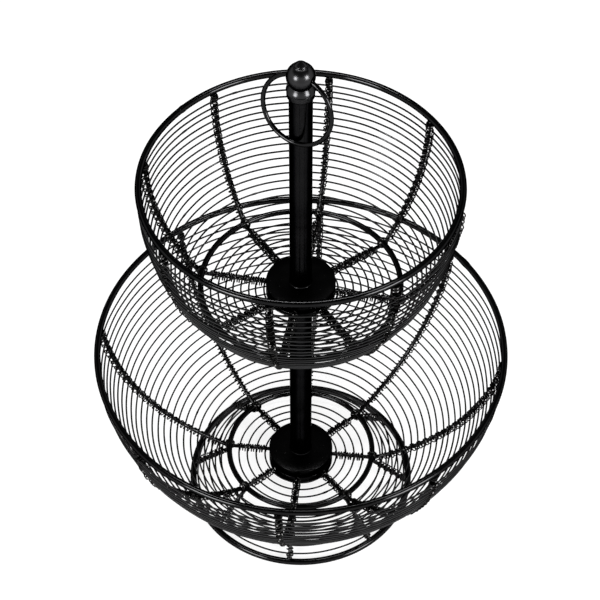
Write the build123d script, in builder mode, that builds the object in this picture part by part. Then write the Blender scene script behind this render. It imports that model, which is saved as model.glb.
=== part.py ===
from build123d import *

import math
import os
from dataclasses import dataclass

os.makedirs("parts", exist_ok=True)

# Tiered wire basket: two round wire bowls on one post, a flared wire foot under the lower one, and on top a
# ball finial with a ring to lift the basket by. Every bowl has stout rods for ribs, thin hoops outside them
# and a fine wire wound along each rib that holds the hoops.
# Millimetres, +Z up, the origin on the floor under the middle of the post. The side seen first is -Y.

# Wires, all round, by diameter
rim_wire = 4.8
base_wire = 4.2
foot_wire = 5.0
rib_wire = 3.0
hoop_wire = 1.3
lash_wire = 0.75
weld_gap = 0.05

# Upper bowl
upper_rim_radius = 108.7
upper_rim_height = 329.6
upper_base_radius = 71.0
upper_base_height = 228.0
upper_wall_slope = 52.0
upper_wall_hoop_count = 18
upper_rim_clear = 8.5
upper_floor_hoop_count = 8
upper_floor_clear = 6.7
upper_floor_pitch = 5.4
upper_turn = -100.7

# Lower bowl
lower_rim_radius = 149.5
lower_rim_height = 159.7
lower_base_radius = 55.9
lower_base_height = 32.7
lower_wall_slope = 25.0
lower_wall_hoop_count = 24
lower_rim_clear = 10.5
lower_floor_hoop_count = 4
lower_floor_clear = 7.2
lower_floor_pitch = 6.8
lower_turn = -96.0

# Ribs, the same in both bowls
rib_count = 8
rib_inner_radius = 14.0
rib_inset = 1.0
rib_end_gap = 0.2

# The fine wire wound along each rib: its middle passes this far from the rib's middle
lash_inside = 2.0
lash_outside = 4.5
tie_reach = 2.3
tie_pitch = 1.25
tie_turns = 3
tie_end_clear = 1.0
lash_tail = 0.75

# Foot
foot_radius = 85.4
foot_flat = 0.4
foot_hoops = 5
foot_hoop_pitch = 6.2
foot_hoop_clear = 6.5

# Hubs: two discs clamp the inner ends of the ribs
hub_radius = 24.8
hub_top_thickness = 5.3
upper_hub_bottom_thickness = 4.0
lower_hub_bottom_thickness = 7.8
hub_edge_round = 0.7
hub_spigot_height = 3.0

# Post: two tubes on a tie rod, a washer and a nut at its foot
upper_post_diameter = 15.8
lower_post_diameter = 16.6
post_wall = 1.2
spigot_gap = 0.1
rod_diameter = 6.0
rod_gap = 0.1
thread_gap = 0.05
rod_below_nut = 2.0
rod_rise = 7.0
washer_diameter = 14.0
washer_thickness = 1.6
nut_flats = 10.0
nut_thickness = 5.0

# Collar under the finial: the height of its foot, and rises from there up
collar_radius = 9.65
collar_band_radius = 9.3
collar_bottom_height = 407.0
collar_rise = 10.4
collar_top_height = collar_bottom_height + collar_rise
collar_top_radius = 7.8
collar_shoulder = 1.5
collar_foot_round = 1.8
collar_groove_width = 1.1
collar_groove_depth = 0.8
collar_groove_rise = 5.9
collar_groove_height = collar_bottom_height + collar_groove_rise
collar_line_width = 0.4
collar_line_depth = 0.25
collar_line_rise = 8.2
collar_line_height = collar_bottom_height + collar_line_rise
collar_bore_radius = 5.4
collar_spigot_height = 3.0

# Finial
ball_radius = 9.65
ball_rise = 6.6
ball_height = collar_top_height + ball_rise
ball_seat_gap = 0.05
finial_stem_radius = 5.3
finial_stem_length = 13.0
finial_hole_rise = 8.0
finial_hole_height = collar_bottom_height + finial_hole_rise
neck_radius = 5.0
neck_height = 8.8
waist_radius = 3.6
waist_height = 9.2
cone_radius = 4.15
cone_base_height = 9.7
cone_swell = 0.4
cone_top_height = 13.2
cone_tip_radius = 0.4

# Ring handle
handle_radius = 25.2
handle_wire = 3.2
handle_turn = 30.0
handle_gap = 0.3

# One overrun serves all cuts
overrun = 1.0


@dataclass
class Bowl:
    """One wire bowl, and the line of its ribs in an upright plane through the post.

    A rib runs level from the hub to the base ring, bends round under that ring, and climbs the wall
    in one arc to the rim. A place on the wall is told by its run: the length of rib from the bend.
    """

    rim_radius: float
    rim_height: float
    base_radius: float
    base_height: float
    slope: float
    wall_hoops: int
    rim_clear: float
    floor_hoops: int
    floor_clear: float
    floor_pitch: float
    turn: float

    def __post_init__(self):
        self.bend = (base_wire + rib_wire) / 2 + weld_gap
        self.floor_height = self.base_height - self.bend
        self.start_angle = math.radians(self.slope)
        start_x = self.base_radius + self.bend * math.sin(self.start_angle)
        start_z = self.base_height - self.bend * math.cos(self.start_angle)
        self.end_x = self.rim_radius - rib_inset
        self.end_z = self.rim_height - rim_wire / 2 - rib_end_gap
        chord = math.hypot(self.end_x - start_x, self.end_z - start_z)
        chord_angle = math.atan2(self.end_z - start_z, self.end_x - start_x)
        half_turn = chord_angle - self.start_angle
        self.wall_radius = chord / (2 * math.sin(half_turn))
        self.wall_length = self.wall_radius * 2 * half_turn
        self.wall_pitch = (self.wall_length - self.rim_clear) / self.wall_hoops
        self.centre_x = start_x - self.wall_radius * math.sin(self.start_angle)
        self.centre_z = start_z + self.wall_radius * math.cos(self.start_angle)

    def wall_place(self, run, out):
        """The radius and height of a point on the wall, set out by so much from the rib's middle."""
        angle = self.start_angle + run / self.wall_radius
        reach = self.wall_radius + out
        return self.centre_x + reach * math.sin(angle), self.centre_z - reach * math.cos(angle)

    def floor_place(self, run, out):
        """The radius and height of a point on the floor, its run told inwards from the base ring."""
        return self.base_radius - run, self.floor_height - out

    def rib_angles(self):
        """The angle of each rib round the post, in degrees."""
        return [self.turn + 360 / rib_count * index for index in range(rib_count)]


upper = Bowl(
    upper_rim_radius, upper_rim_height, upper_base_radius, upper_base_height, upper_wall_slope,
    upper_wall_hoop_count, upper_rim_clear, upper_floor_hoop_count, upper_floor_clear, upper_floor_pitch,
    upper_turn,
)
lower = Bowl(
    lower_rim_radius, lower_rim_height, lower_base_radius, lower_base_height, lower_wall_slope,
    lower_wall_hoop_count, lower_rim_clear, lower_floor_hoop_count, lower_floor_clear, lower_floor_pitch,
    lower_turn,
)
bowls = {"upper": upper, "lower": lower}

# A hoop lies against the outside of the ribs
hoop_out = (rib_wire + hoop_wire) / 2 + weld_gap


def save(name, builder):
    """Label a finished piece and write it out."""
    builder.part.label = name
    export_step(builder.part, f"parts/{name}.step")


def turned_copy(builder, angle):
    """A builder that holds a copy of a piece, turned about the post."""
    with BuildPart() as copy:
        add(builder.part.rotate(Axis.Z, angle))
    return copy


def rings(places, wire):
    """A builder with one closed ring of wire at each radius and height."""
    with BuildPart() as piece:
        with BuildSketch(Plane.XZ):
            with Locations(*places):
                Circle(wire / 2)
        revolve(axis=Axis.Z)
    return piece


# Rims, base rings and hoops

for name, bowl in bowls.items():
    save(f"{name}_rim", rings([(bowl.rim_radius, bowl.rim_height)], rim_wire))
    save(f"{name}_base_ring", rings([(bowl.base_radius, bowl.base_height)], base_wire))
    wall_runs = [bowl.wall_pitch * (index + 1) for index in range(bowl.wall_hoops)]
    floor_runs = [bowl.floor_clear + bowl.floor_pitch * index for index in range(bowl.floor_hoops)]
    half = len(wall_runs) // 2
    for level, runs in (("lower", wall_runs[:half]), ("upper", wall_runs[half:])):
        places = [bowl.wall_place(run, hoop_out) for run in runs]
        save(f"{name}_wall_{level}_hoops", rings(places, hoop_wire))
    save(f"{name}_floor_hoops", rings([bowl.floor_place(run, hoop_out) for run in floor_runs], hoop_wire))

# Ribs: each is one bent rod, spoke and rib in one

for name, bowl in bowls.items():
    with BuildPart() as first_rib:
        with BuildLine(Plane.XZ) as rib_line:
            Line((rib_inner_radius, bowl.floor_height), (bowl.base_radius, bowl.floor_height))
            rib_bend = CenterArc((bowl.base_radius, bowl.base_height), bowl.bend, -90, bowl.slope)
            TangentArc(rib_bend @ 1, (bowl.end_x, bowl.end_z), tangent=rib_bend % 1)
        with BuildSketch(Plane.YZ.offset(rib_inner_radius)):
            with Locations((0, bowl.floor_height)):
                Circle(rib_wire / 2)
        sweep()
    for index, angle in enumerate(bowl.rib_angles()):
        save(f"{name}_rib_{index + 1}", turned_copy(first_rib, angle))


# The fine wire wound along the ribs

def winding_place(place, run, turn, inside, outside):
    """The middle of the wound wire after so many turns; a whole turn is outside the hoop."""
    reach = (inside + outside) / 2
    swing = 2 * math.pi * turn
    radius, height = place(run, (outside - inside) / 2 + reach * math.cos(swing))
    return Vector(radius, reach * math.sin(swing), height)


def biarc_middle(start, start_way, end, end_way):
    """Where two arcs that leave start and reach end in the given ways meet, and their way there."""
    across = end - start
    both = start_way + end_way
    spread = 2 * (1 - start_way.dot(end_way))
    lean = across.dot(both)
    reach = (math.sqrt(lean * lean + spread * across.dot(across)) - lean) / spread
    near = start + start_way * reach
    far = end - end_way * reach
    return (near + far) / 2, (far - near).normalized()


def winding(route, half_turns):
    """A builder with one unbroken tube along a route that starts on the inside of the rib.

    The route gives the middle of the wire for a count of turns. Each half turn is two arcs, and the
    ends run straight for a short tail.
    """
    step_share = 0.001
    halves = [-0.5 + index / 2 for index in range(half_turns + 1)]
    points = [route(half) for half in halves]
    ways = [(route(half + step_share) - route(half - step_share)).normalized() for half in halves]
    tail_start = points[0] - ways[0] * lash_tail
    with BuildPart() as wire:
        with BuildLine():
            Line(tail_start, points[0])
            for index in range(half_turns):
                middle, middle_way = biarc_middle(
                    points[index], ways[index], points[index + 1], ways[index + 1])
                TangentArc(points[index], middle, tangent=ways[index])
                TangentArc(middle, points[index + 1], tangent=middle_way)
            Line(points[-1], points[-1] + ways[-1] * lash_tail)
        with BuildSketch(Plane(origin=tail_start, z_dir=ways[0])):
            Circle(lash_wire / 2)
        sweep()
    return wire


def least_gap(route, half_turns):
    """The least gap of a winding to itself, measured on points of neighbouring turns."""
    steps = 12
    count = half_turns * steps
    points = [route(-0.5 + index / (2 * steps)) for index in range(count + 1)]
    gaps = [
        (points[first] - points[second]).length - lash_wire
        for first in range(count + 1)
        for second in range(first + steps, min(first + 4 * steps, count + 1))
    ]
    return min(gaps)


def wall_route(bowl):
    """The winding up the wall: its whole turns pass outside the hoops."""
    return lambda turn: winding_place(
        bowl.wall_place, bowl.wall_pitch * (turn + 1), turn, lash_inside, lash_outside)


def floor_route(bowl):
    """The winding along the floor, from the base ring inwards."""
    return lambda turn: winding_place(
        bowl.floor_place, bowl.floor_clear + bowl.floor_pitch * turn, turn, lash_inside, lash_outside)


def tie_route(bowl):
    """The close turns that end the wire under the rim."""
    first_run = bowl.wall_length - tie_end_clear - tie_pitch * tie_turns
    return lambda turn: winding_place(
        bowl.wall_place, first_run + tie_pitch * (turn + 0.5), turn, tie_reach, tie_reach)


for name, bowl in bowls.items():
    routes = [
        (wall_route(bowl), 2 * bowl.wall_hoops),
        (tie_route(bowl), 2 * tie_turns),
        (floor_route(bowl), 2 * bowl.floor_hoops - 1),
    ]
    wound = [winding(route, half_turns) for route, half_turns in routes]
    for route, half_turns in routes:
        print(f"{name} winding of {half_turns / 2} turns, least gap to itself {least_gap(route, half_turns):.2f} mm")
    with BuildPart() as first_lashing:
        for wire in wound:
            add(wire.part)
    for index, angle in enumerate(bowl.rib_angles()):
        save(f"{name}_lashing_{index + 1}", turned_copy(first_lashing, angle))

# Foot: a flared skirt of struts, hoops and a stout ring that the basket stands on

foot_height = foot_wire / 2 - foot_flat
strut_top_x = lower.base_radius
strut_top_z = lower.floor_height - rib_wire - weld_gap
strut_fall = Vector(foot_radius - strut_top_x, 0, foot_height - strut_top_z)
strut_way = strut_fall.normalized()
strut_length = strut_fall.length - foot_wire / 2 - weld_gap
strut_out = Vector(-strut_way.Z, 0, strut_way.X)


def foot_place(run, out):
    """The radius and height of a point on the foot, its run told up the strut from the foot ring's middle."""
    spot = Vector(foot_radius, 0, foot_height) - strut_way * run + strut_out * out
    return spot.X, spot.Z


def foot_route(turn):
    """The winding up a strut."""
    run = foot_hoop_clear + foot_hoop_pitch * turn
    return winding_place(foot_place, run, turn, lash_inside, lash_outside)


with BuildPart() as foot_ring:
    with BuildSketch(Plane.XZ):
        with Locations((foot_radius, foot_height)):
            Circle(foot_wire / 2)
        Rectangle(2 * foot_radius + foot_wire, foot_wire, align=(Align.MIN, Align.MAX), mode=Mode.SUBTRACT)
    revolve(axis=Axis.Z)
save("foot_ring", foot_ring)
foot_runs = [foot_hoop_clear + foot_hoop_pitch * index for index in range(foot_hoops)]
save("foot_hoops", rings([foot_place(run, hoop_out) for run in foot_runs], hoop_wire))

with BuildPart() as first_strut:
    with BuildSketch(Plane(origin=(strut_top_x, 0, strut_top_z), z_dir=strut_way)):
        Circle(rib_wire / 2)
    extrude(amount=strut_length)

with BuildPart() as foot_struts:
    for angle in lower.rib_angles():
        add(first_strut.part.rotate(Axis.Z, angle))
save("foot_struts", foot_struts)

first_foot_lashing = winding(foot_route, 2 * foot_hoops)
print(f"foot winding, least gap to itself {least_gap(foot_route, 2 * foot_hoops):.2f} mm")
with BuildPart() as foot_lashings:
    for angle in lower.rib_angles():
        add(first_foot_lashing.part.rotate(Axis.Z, angle))
save("foot_lashings", foot_lashings)


# Hubs: a disc above and a disc below the inner ends of the ribs

rod_hole_radius = rod_diameter / 2 + rod_gap
upper_spigot_radius = upper_post_diameter / 2 - post_wall - spigot_gap
lower_spigot_radius = lower_post_diameter / 2 - post_wall - spigot_gap


def hub_disc(bottom, thickness, spigot_radius=0.0, spigot_way=1):
    """A builder with one hub disc, with a spigot above (1) or below (-1) that centres the tube there."""
    with BuildPart(Plane.XY.offset(bottom)) as disc:
        Cylinder(hub_radius, thickness, align=(Align.CENTER, Align.CENTER, Align.MIN))
        fillet(disc.edges().filter_by(GeomType.CIRCLE), hub_edge_round)
        if spigot_radius:
            face = disc.faces().sort_by(Axis.Z)[-1 if spigot_way > 0 else 0]
            with BuildSketch(face):
                Circle(spigot_radius)
            extrude(amount=hub_spigot_height)
        Hole(rod_hole_radius)
    return disc


def hub_levels(bowl):
    """The heights of the underside of the top disc and the top of the bottom disc."""
    half = rib_wire / 2 + weld_gap
    return bowl.floor_height + half, bowl.floor_height - half


upper_disc_bottom, upper_plate_top = hub_levels(upper)
lower_disc_bottom, lower_plate_top = hub_levels(lower)
upper_plate_bottom = upper_plate_top - upper_hub_bottom_thickness
lower_plate_bottom = lower_plate_top - lower_hub_bottom_thickness

upper_hub_top = hub_disc(upper_disc_bottom, hub_top_thickness, upper_spigot_radius, 1)
save("upper_hub_top", upper_hub_top)
upper_hub_bottom = hub_disc(upper_plate_bottom, upper_hub_bottom_thickness, lower_spigot_radius, -1)
save("upper_hub_bottom", upper_hub_bottom)
lower_hub_top = hub_disc(lower_disc_bottom, hub_top_thickness, lower_spigot_radius, 1)
save("lower_hub_top", lower_hub_top)
lower_hub_bottom = hub_disc(lower_plate_bottom, lower_hub_bottom_thickness)
save("lower_hub_bottom", lower_hub_bottom)

# Post


def tube(diameter, bottom, top):
    """A builder with one upright tube of the post."""
    with BuildPart(Plane.XY.offset(bottom)) as post:
        Cylinder(diameter / 2, top - bottom, align=(Align.CENTER, Align.CENTER, Align.MIN))
        Hole(diameter / 2 - post_wall)
    return post


upper_post = tube(upper_post_diameter, upper_disc_bottom + hub_top_thickness, collar_bottom_height)
save("upper_post", upper_post)
lower_post = tube(lower_post_diameter, lower_disc_bottom + hub_top_thickness, upper_plate_bottom)
save("lower_post", lower_post)

washer_bottom = lower_plate_bottom - washer_thickness
nut_bottom = washer_bottom - nut_thickness
rod_bottom = nut_bottom - rod_below_nut
rod_top = collar_bottom_height + rod_rise

with BuildPart(Plane.XY.offset(rod_bottom)) as tie_rod:
    Cylinder(rod_diameter / 2, rod_top - rod_bottom, align=(Align.CENTER, Align.CENTER, Align.MIN))
save("tie_rod", tie_rod)

with BuildPart(Plane.XY.offset(washer_bottom)) as base_washer:
    Cylinder(washer_diameter / 2, washer_thickness, align=(Align.CENTER, Align.CENTER, Align.MIN))
    Hole(rod_hole_radius)
save("base_washer", base_washer)

with BuildPart() as base_nut:
    with BuildSketch(Plane.XY.offset(nut_bottom)):
        RegularPolygon(nut_flats / 2, 6, major_radius=False)
        Circle(rod_diameter / 2 + thread_gap, mode=Mode.SUBTRACT)
    extrude(amount=nut_thickness)
save("base_nut", base_nut)

# Collar: a beaded ring that caps the upper tube and cups the ball

with BuildPart() as collar:
    with BuildSketch(Plane.XZ):
        with BuildLine():
            Polyline(
                (collar_bore_radius, collar_bottom_height),
                (collar_band_radius, collar_bottom_height),
                (collar_band_radius, collar_groove_height),
                (collar_radius, collar_groove_height),
                (collar_radius, collar_top_height - collar_shoulder),
                (collar_top_radius, collar_top_height),
                (collar_bore_radius, collar_top_height),
                (collar_bore_radius, collar_bottom_height),
            )
        make_face()
        with Locations((collar_radius, collar_groove_height)):
            Rectangle(2 * collar_groove_depth, collar_groove_width, mode=Mode.SUBTRACT)
        with Locations((collar_radius, collar_line_height)):
            Rectangle(2 * collar_line_depth, collar_line_width, mode=Mode.SUBTRACT)
    revolve(axis=Axis.Z)
    foot_edge = collar.edges().filter_by(GeomType.CIRCLE).group_by(Axis.Z)[0].sort_by(SortBy.RADIUS)[-1]
    fillet(foot_edge, collar_foot_round)
    with BuildSketch(Plane.XY.offset(collar_bottom_height)):
        Circle(upper_spigot_radius)
        Circle(collar_bore_radius, mode=Mode.SUBTRACT)
    extrude(amount=-collar_spigot_height)
    with BuildSketch(Plane.XZ):
        with Locations((0, ball_height)):
            Circle(ball_radius + ball_seat_gap)
        Rectangle(2 * ball_height, 4 * ball_height, align=(Align.MAX, Align.CENTER), mode=Mode.SUBTRACT)
    revolve(axis=Axis.Z, mode=Mode.SUBTRACT)
save("collar", collar)

# Finial: a ball with a pointed tip and a threaded stem, bored across for the ring

handle_way = Vector(math.cos(math.radians(handle_turn)), -math.sin(math.radians(handle_turn)), 0)
handle_front = Vector(-math.sin(math.radians(handle_turn)), -math.cos(math.radians(handle_turn)), 0)
ball_centre = Vector(0, 0, ball_height)
bore_half_length = ball_radius + overrun
bore_arc_radius = handle_radius - handle_wire / 2 - handle_gap
bore_mouth_radius = handle_radius - math.sqrt(bore_arc_radius**2 - bore_half_length**2)

with BuildPart() as finial:
    with BuildSketch(Plane.XZ):
        with BuildLine():
            neck_meets_ball = math.sqrt(ball_radius**2 - neck_radius**2)
            stem_meets_ball = math.sqrt(ball_radius**2 - finial_stem_radius**2)
            ball_side = ThreePointArc(
                (finial_stem_radius, ball_height - stem_meets_ball),
                (ball_radius, ball_height),
                (neck_radius, ball_height + neck_meets_ball),
            )
            Polyline(
                ball_side @ 1,
                (neck_radius, ball_height + neck_height),
                (waist_radius, ball_height + waist_height),
                (cone_radius, ball_height + cone_base_height),
            )
            SagittaArc(
                (cone_radius, ball_height + cone_base_height),
                (cone_tip_radius, ball_height + cone_top_height),
                -cone_swell,
            )
            Polyline(
                (cone_tip_radius, ball_height + cone_top_height),
                (0, ball_height + cone_top_height),
                (0, finial_hole_height),
                (rod_diameter / 2 + thread_gap, finial_hole_height),
                (rod_diameter / 2 + thread_gap, ball_height - stem_meets_ball - finial_stem_length),
                (finial_stem_radius, ball_height - stem_meets_ball - finial_stem_length),
                ball_side @ 0,
            )
        make_face()
    revolve(axis=Axis.Z)
    with BuildSketch(Plane(origin=ball_centre, x_dir=handle_way, z_dir=handle_front)):
        with BuildLine():
            Polyline(
                (-bore_half_length, bore_mouth_radius),
                (-bore_half_length, 0),
                (bore_half_length, 0),
                (bore_half_length, bore_mouth_radius),
            )
            ThreePointArc(
                (-bore_half_length, bore_mouth_radius),
                (0, handle_wire / 2 + handle_gap),
                (bore_half_length, bore_mouth_radius),
            )
        make_face()
    revolve(axis=Axis(ball_centre, handle_way), mode=Mode.SUBTRACT)
save("finial", finial)

# Ring handle: it hangs through the ball and leans on the front of the post

handle_lean = math.asin((upper_post_diameter / 2 + handle_wire / 2 + handle_gap) / (2 * handle_radius))
handle_down = handle_front * math.sin(handle_lean) - Vector(0, 0, math.cos(handle_lean))
handle_centre = ball_centre + handle_down * handle_radius
with BuildPart(Plane(origin=handle_centre, x_dir=handle_way, z_dir=handle_way.cross(handle_down))) as ring_handle:
    Torus(handle_radius, handle_wire / 2)
save("ring_handle", ring_handle)
print(f"ring handle leans {math.degrees(handle_lean):.2f} degrees off the upright")
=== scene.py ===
"""Dresses the tiered wire basket: wires, bindings, hubs, post, finial and ring, with their finishes."""
import logging
import math
import random
from contextlib import contextmanager
from dataclasses import dataclass, field
from enum import Enum
from typing import Any, Callable, Iterator, Optional, Sequence, Union

import bmesh
import bpy
from mathutils import Matrix, Vector


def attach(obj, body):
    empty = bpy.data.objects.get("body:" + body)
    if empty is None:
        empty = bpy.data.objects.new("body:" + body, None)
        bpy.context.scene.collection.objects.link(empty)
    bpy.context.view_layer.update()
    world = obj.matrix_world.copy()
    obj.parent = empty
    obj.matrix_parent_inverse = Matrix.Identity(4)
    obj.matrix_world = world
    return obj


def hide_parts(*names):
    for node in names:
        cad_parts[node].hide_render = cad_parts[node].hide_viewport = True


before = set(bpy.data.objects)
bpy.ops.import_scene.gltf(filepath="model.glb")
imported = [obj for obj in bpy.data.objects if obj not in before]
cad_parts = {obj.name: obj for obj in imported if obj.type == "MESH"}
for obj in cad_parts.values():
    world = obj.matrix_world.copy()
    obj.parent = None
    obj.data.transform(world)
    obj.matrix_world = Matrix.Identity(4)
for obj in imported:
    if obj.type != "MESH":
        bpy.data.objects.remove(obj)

LOG = logging.getLogger("wire_basket")
STAND = "stand"
RING = "ring"
CREASE = math.radians(38.0)
MERGE_GAP = 0.000002
FINE_MERGE_GAP = 0.000001


class Tier(Enum):
    """The two bowls, by the name that their nodes carry."""

    UPPER = "upper"
    LOWER = "lower"


# Working by hand


class Bench:
    """The hand work that every piece needs: picking, shaping and finishing a mesh."""

    @staticmethod
    def clear() -> None:
        """Leave edit mode and let go of every object."""
        active = bpy.context.view_layer.objects.active
        if active is not None and active.mode != "OBJECT":
            bpy.ops.object.mode_set(mode="OBJECT")
        bpy.ops.object.select_all(action="DESELECT")

    @staticmethod
    def pick(*pieces: bpy.types.Object) -> None:
        """Select these pieces alone, the first one active."""
        Bench.clear()
        for piece in pieces:
            piece.select_set(True)
        bpy.context.view_layer.objects.active = pieces[0]

    @staticmethod
    @contextmanager
    def editing(piece: bpy.types.Object) -> Iterator[None]:
        """Hold a piece in edit mode while the block runs.

        Args:
            piece: The piece to shape.

        Returns:
            Nothing, for the length of the block.
        """
        Bench.pick(piece)
        bpy.ops.object.mode_set(mode="EDIT")
        bpy.ops.mesh.select_mode(type="VERT")
        yield
        bpy.ops.object.mode_set(mode="OBJECT")

    @staticmethod
    def choose(piece: bpy.types.Object, test: Callable[[Vector], bool]) -> None:
        """Select the points of the mesh in edit that pass a test.

        Args:
            piece: The piece in edit mode.
            test: Says of a place whether it is wanted.
        """
        bpy.ops.mesh.select_all(action="DESELECT")
        mesh = bmesh.from_edit_mesh(piece.data)
        for vert in mesh.verts:
            vert.select_set(test(vert.co))
        bmesh.update_edit_mesh(piece.data)

    @staticmethod
    def modify(piece: bpy.types.Object, kind: str, **settings: Any) -> None:
        """Add a modifier with these settings and apply it.

        Args:
            piece: The piece to change.
            kind: The modifier's type.
            **settings: Its values.
        """
        Bench.pick(piece)
        bpy.ops.object.modifier_add(type=kind)
        modifier = piece.modifiers[-1]
        for name, value in settings.items():
            setattr(modifier, name, value)
        bpy.ops.object.modifier_apply(modifier=modifier.name)

    @staticmethod
    def bend_by_hand(piece: bpy.types.Object, amount: float, grain: float) -> None:
        """Move a mesh softly in all directions, since wire bent by hand is never true.

        Args:
            piece: The piece to change.
            amount: The whole width of the movement, in metres.
            grain: The size of one wave, in metres.
        """
        noise = bpy.data.textures.new(piece.name + "_sway", "CLOUDS")
        noise.noise_scale = grain
        noise.noise_depth = 1
        noise.cloud_type = "COLOR"
        Bench.modify(
            piece, "DISPLACE", texture=noise, direction="RGB_TO_XYZ", strength=amount,
            mid_level=0.5, texture_coords="LOCAL",
        )

    @staticmethod
    def ring(
        name: str, radius: float, height: float, wire: float, around: int, sides: int,
    ) -> bpy.types.Object:
        """A closed ring of round wire, level about the post.

        Args:
            name: The piece's name.
            radius: From the ring's middle to the wire's middle.
            height: The height of its middle.
            wire: The wire's diameter.
            around: How many steps go round the ring.
            sides: How many faces go round the wire.

        Returns:
            The ring, its place in its mesh.
        """
        Bench.clear()
        bpy.ops.mesh.primitive_torus_add(
            location=(0.0, 0.0, height), major_radius=radius, minor_radius=wire / 2,
            major_segments=around, minor_segments=sides,
        )
        piece = bpy.context.object
        piece.name = name
        bpy.ops.object.transform_apply(location=True, rotation=True, scale=True)
        return piece

    @staticmethod
    def weld_seam(piece: bpy.types.Object, angle: float, width: float, swell: float) -> None:
        """Thicken a ring where its ends were butted and welded.

        Args:
            piece: A ring about the post.
            angle: Where the seam lies round the post, in degrees.
            width: Half the length of wire that the weld covers.
            swell: How far the weld stands out of the wire.
        """
        way = Vector((math.cos(math.radians(angle)), math.sin(math.radians(angle)), 0.0))
        side = Vector((-way.y, way.x, 0.0))
        with Bench.editing(piece):
            Bench.choose(piece, lambda spot: spot.dot(way) > 0.0 and abs(spot.dot(side)) < width)
            bpy.ops.transform.shrink_fatten(value=swell)

    @staticmethod
    def lathe(name: str, outline: Sequence[tuple[float, float]], steps: int = 96) -> bpy.types.Object:
        """Spin an outline about the post.

        Args:
            name: The piece's name.
            outline: Radius and height of each point, in order.
            steps: How many steps go round.

        Returns:
            The turned piece, closed and with its faces outwards.
        """
        Bench.clear()
        bpy.ops.mesh.primitive_plane_add(size=1.0)
        piece = bpy.context.object
        piece.name = name
        with Bench.editing(piece):
            bpy.ops.mesh.select_all(action="SELECT")
            bpy.ops.mesh.merge(type="CENTER")
            bpy.ops.transform.translate(value=(outline[0][0], 0.0, outline[0][1]))
            for before, after in zip(outline, outline[1:]):
                step = (after[0] - before[0], 0.0, after[1] - before[1])
                bpy.ops.mesh.extrude_region_move(TRANSFORM_OT_translate={"value": step})
            bpy.ops.mesh.select_all(action="SELECT")
            bpy.ops.mesh.spin(steps=steps, angle=math.tau, center=(0.0, 0.0, 0.0), axis=(0.0, 0.0, 1.0))
            bpy.ops.mesh.select_all(action="SELECT")
            bpy.ops.mesh.remove_doubles(threshold=MERGE_GAP)
            bpy.ops.mesh.normals_make_consistent(inside=False)
        return piece

    @staticmethod
    def drawn_wire(name: str, lines: Sequence[Sequence[Vector]], wire: float) -> bpy.types.Object:
        """Fine wire laid along one or more lines, as one mesh.

        Args:
            name: The piece's name.
            lines: The points that each length of wire is pulled along.
            wire: The wire's diameter.

        Returns:
            The wire as a closed mesh.
        """
        lengths = []
        for line in lines:
            Bench.clear()
            bpy.ops.curve.primitive_nurbs_path_add(location=(0.0, 0.0, 0.0))
            length = bpy.context.object
            spline = length.data.splines[0]
            spline.points.add(len(line) - len(spline.points))
            for point, spot in zip(spline.points, line):
                point.co = (spot.x, spot.y, spot.z, 1.0)
            spline.order_u = 4
            spline.use_endpoint_u = True
            length.data.dimensions = "3D"
            length.data.resolution_u = 2
            length.data.bevel_depth = wire / 2
            length.data.bevel_resolution = 1
            length.data.use_fill_caps = True
            bpy.ops.object.convert(target="MESH")
            lengths.append(bpy.context.object)
        piece = Bench.join(name, lengths)
        Bench.outwards(piece)
        return piece

    @staticmethod
    def outwards(piece: bpy.types.Object) -> None:
        """Merge doubles and turn every face of a mesh outwards."""
        with Bench.editing(piece):
            bpy.ops.mesh.select_all(action="SELECT")
            bpy.ops.mesh.remove_doubles(threshold=FINE_MERGE_GAP)
            bpy.ops.mesh.normals_make_consistent(inside=False)

    @staticmethod
    def join(name: str, pieces: Sequence[bpy.types.Object]) -> bpy.types.Object:
        """Join pieces into one mesh under a name."""
        Bench.pick(*pieces)
        if len(pieces) > 1:
            bpy.ops.object.join()
        pieces[0].name = name
        return pieces[0]

    @staticmethod
    def turned_copy(piece: bpy.types.Object, name: str, angle: float) -> bpy.types.Object:
        """A copy of a piece, with a mesh of its own, turned about the post.

        Args:
            piece: The piece to copy.
            name: The copy's name.
            angle: How far it is turned, in radians.

        Returns:
            The copy, its turn in its mesh.
        """
        Bench.pick(piece)
        bpy.ops.object.duplicate()
        copy = bpy.context.object
        copy.name = name
        copy.rotation_euler = (0.0, 0.0, angle)
        bpy.ops.object.transform_apply(location=True, rotation=True, scale=True)
        return copy

    @staticmethod
    def blob(
        name: str, spot: Vector, size: tuple[float, float, float], angle: float,
    ) -> bpy.types.Object:
        """A lump of weld metal or thick paint.

        Args:
            name: The piece's name.
            spot: Its middle.
            size: Its half widths before it is turned.
            angle: Its turn about the upright, in radians.

        Returns:
            The lump, rough and closed.
        """
        Bench.clear()
        bpy.ops.mesh.primitive_ico_sphere_add(
            subdivisions=3, radius=1.0, location=spot, rotation=(0.0, 0.0, angle))
        piece = bpy.context.object
        piece.name = name
        piece.scale = size
        bpy.ops.object.transform_apply(location=True, rotation=True, scale=True)
        Bench.bend_by_hand(piece, size[0] * 0.5, size[0] * 0.9)
        return piece

    @staticmethod
    def hand_over(
        piece: bpy.types.Object, paint: bpy.types.Material, slot: str, nodes: Sequence[str],
        body: str = STAND,
    ) -> None:
        """Give a finished piece its paint, its body and the nodes that it stands for.

        Args:
            piece: The finished piece.
            paint: Its material.
            slot: The record's slot for that material; not used.
            nodes: The frame's nodes that it replaces.
            body: The body that it rides on.
        """
        Bench.pick(piece)
        bpy.ops.object.shade_smooth_by_angle(angle=CREASE)
        piece.data.materials.clear()
        piece.data.materials.append(paint)
        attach(piece, body)
        if nodes:
            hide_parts(*nodes)
        faces = len(piece.data.polygons)
        LOG.info("%s: %d faces, for %s", piece.name, faces, ", ".join(nodes) or "no node")


# Shader maths


Number = Union["Link", float]


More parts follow.
